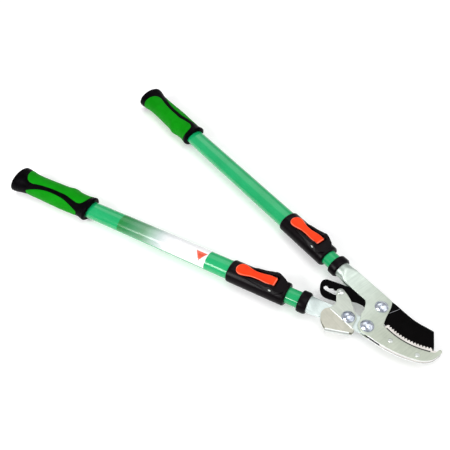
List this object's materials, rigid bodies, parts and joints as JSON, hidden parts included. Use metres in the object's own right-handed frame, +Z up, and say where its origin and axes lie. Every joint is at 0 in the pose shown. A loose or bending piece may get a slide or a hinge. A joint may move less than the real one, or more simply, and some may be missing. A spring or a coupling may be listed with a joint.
{
  "type": "telescopic ratchet anvil loppers",
  "caption": "Long-handled garden cutter with a pivoting blade closing on a toothed anvil, a ratchet pawl, and telescoping oval handles locked by flip levers.",
  "frame": {"origin": "middle of the footprint, on the surface the loppers lie on", "axes": "+X along the anvil handle towards the jaw, +Y away from the lever handle, +Z up through the side plates"},
  "size_m": [0.658, 0.3134, 0.038],
  "materials": {
    "stamped_steel": "zinc-plated stamped steel, satin",
    "anvil_steel": "pale toothed anvil strip",
    "rivet_steel": "plated pins and rivets",
    "dome_chrome": "bright domed bolts and nuts",
    "blade_coating": "black non-stick coated blade",
    "lever_steel": "zinc-plated stamped steel, bluish",
    "pawl_steel": "zinc-plated folded steel, warm tint",
    "spring_steel": "spring steel",
    "tube_green": "glossy teal green lacquer on aluminium tube",
    "black_plastic": "black moulded nylon",
    "liner_plastic": "plain bush plastic",
    "pad_rubber": "brake pad rubber",
    "grip_black": "black overmoulded grip",
    "grip_green": "soft leaf-green grip panels",
    "lever_orange": "orange-red moulded lever",
    "label_film": "printed film fading from olive to white, no lettering"
  },
  "bodies": {
    "anvil_side": {"front_side_plate": "stamped_steel", "back_side_plate": "stamped_steel", "anvil_insert": "anvil_steel", "anvil_rivets": "rivet_steel", "blade_pivot_bolt": "dome_chrome", "blade_pivot_nut": "dome_chrome", "lever_pivot_bolt": "dome_chrome", "lever_pivot_nut": "dome_chrome", "anvil_inner_tube": "tube_green", "anvil_tube_collar": "black_plastic", "anvil_tube_rivet": "rivet_steel", "anvil_end_plug": "black_plastic"},
    "blade": {"blade": "blade_coating"},
    "lever_side": {"lever_front_plate": "lever_steel", "lever_back_plate": "lever_steel", "pawl_pivot_bolt": "dome_chrome", "pawl_pivot_nut": "dome_chrome", "lever_inner_tube": "tube_green", "lever_tube_collar": "black_plastic", "lever_tube_rivet": "rivet_steel", "lever_end_plug": "black_plastic"},
    "pawl": {"pawl_stirrup": "pawl_steel", "pawl_pin": "rivet_steel", "pawl_spring": "spring_steel"},
    "anvil_handle": {"anvil_outer_tube": "tube_green", "anvil_clamp_body": "black_plastic", "anvil_clamp_liner": "liner_plastic", "anvil_clamp_pad": "pad_rubber", "anvil_clamp_pin": "rivet_steel", "anvil_grip_core": "grip_black", "anvil_grip_panels": "grip_green"},
    "anvil_flip": {"anvil_flip_lever": "lever_orange", "anvil_flip_hub": "black_plastic"},
    "lever_handle": {"lever_outer_tube": "tube_green", "lever_clamp_body": "black_plastic", "lever_clamp_liner": "liner_plastic", "lever_clamp_pad": "pad_rubber", "lever_clamp_pin": "rivet_steel", "lever_grip_core": "grip_black", "lever_grip_panels": "grip_green", "lever_tube_label": "label_film"},
    "lever_flip": {"lever_flip_lever": "lever_orange", "lever_flip_hub": "black_plastic"}
  },
  "joints": [
    {"name": "lever_hinge", "type": "hinge", "parent": "anvil_side", "child": "lever_side", "pos_m": [0.253, 0.1, 0.018], "axis": [0, 0, 1], "range_deg": [0, 60]},
    {"name": "blade_hinge", "type": "hinge", "parent": "anvil_side", "child": "blade", "pos_m": [0.2452, 0.1324, 0.018], "axis": [0, 0, 1], "range_deg": [0, 33]},
    {"name": "pawl_hinge", "type": "hinge", "parent": "lever_side", "child": "pawl", "pos_m": [0.2307, 0.0912, 0.018], "axis": [0, 0, 1], "range_deg": [-30, 0], "deforming": ["pawl_spring"]},
    {"name": "anvil_extend", "type": "slide", "parent": "anvil_side", "child": "anvil_handle", "axis": [-1, 0, 0], "range_m": [0, 0.3]},
    {"name": "lever_extend", "type": "slide", "parent": "lever_side", "child": "lever_handle", "axis": [-0.9135, -0.4067, 0], "range_m": [0, 0.3]},
    {"name": "anvil_flip_hinge", "type": "hinge", "parent": "anvil_handle", "child": "anvil_flip", "pos_m": [0.129, 0.1368, 0.0322], "axis": [0, 1, 0], "range_deg": [0, 100]},
    {"name": "lever_flip_hinge", "type": "hinge", "parent": "lever_handle", "child": "lever_flip", "pos_m": [0.14283, 0.04846, 0.0322], "axis": [-0.4067, 0.9135, 0], "range_deg": [0, 100]}
  ],
  "couplings": [
    {"joint": "blade_hinge", "follows": "lever_hinge", "ratio": 0.54},
    {"joint": "pawl_hinge", "follows": "lever_hinge", "ratio": -0.49}
  ]
}
